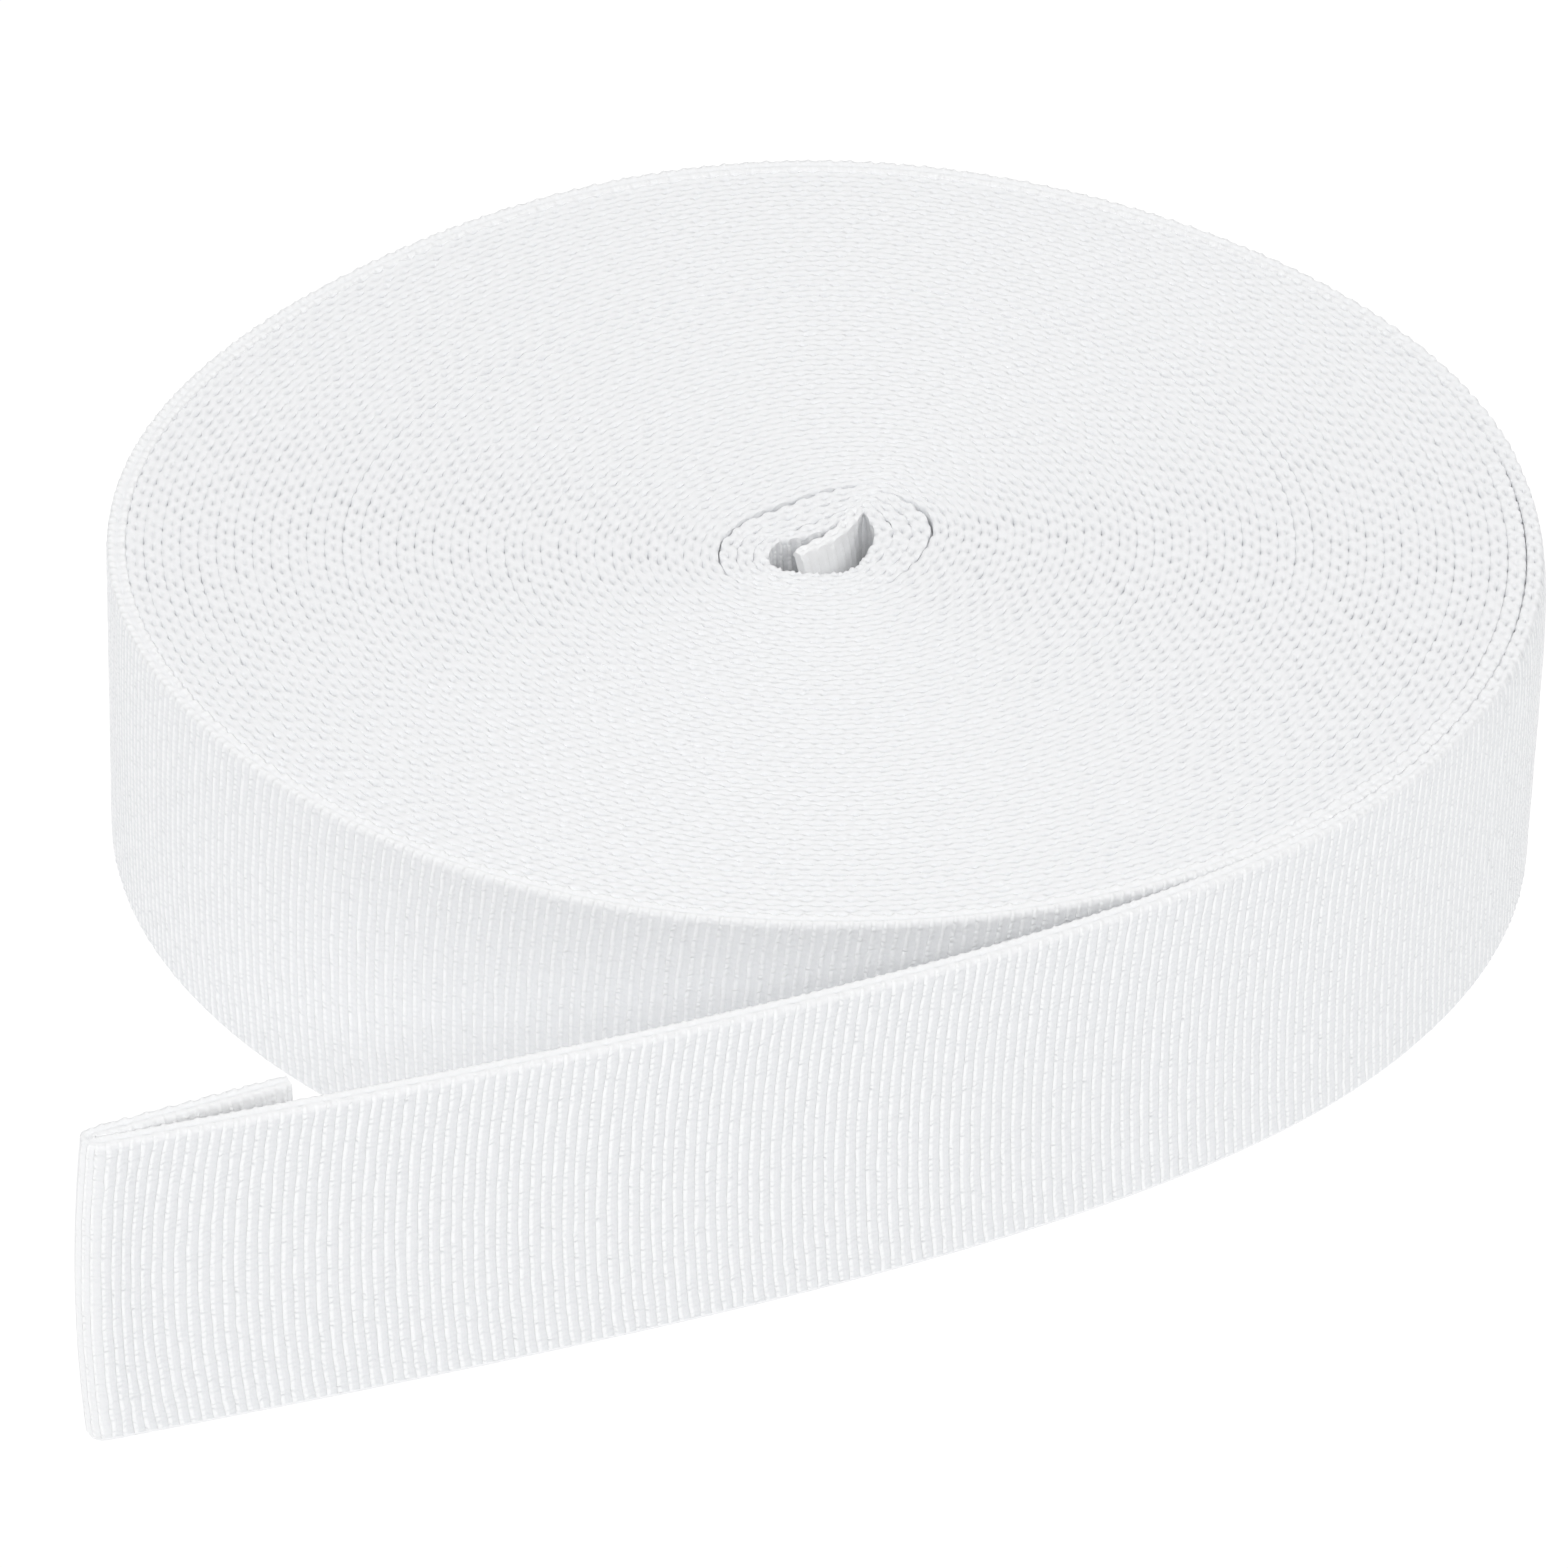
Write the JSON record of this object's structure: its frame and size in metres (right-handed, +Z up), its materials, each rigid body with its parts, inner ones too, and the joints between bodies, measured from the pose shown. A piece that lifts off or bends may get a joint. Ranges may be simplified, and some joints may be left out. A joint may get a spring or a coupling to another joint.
{
  "type": "roll of nylon webbing",
  "caption": "Roll of white woven nylon webbing lying on its side, wound tightly without a core, its outer end led off and folded back, for straps, belts and bag handles.",
  "frame": {"origin": "on the surface it rests on, under the middle of the whole object's box", "axes": "+Z up, across the web's width; +Y away from the loose end, along the object's longest side; +X to the right of a viewer who faces the loose end"},
  "size_m": [0.1568, 0.1892, 0.0381],
  "materials": {
    "webbing": "white woven nylon, ribbed across, slightly silky"
  },
  "bodies": {
    "root": {"webbing_roll": "webbing", "loose_end": "webbing", "inner_end": "webbing"}
  },
  "joints": []
}
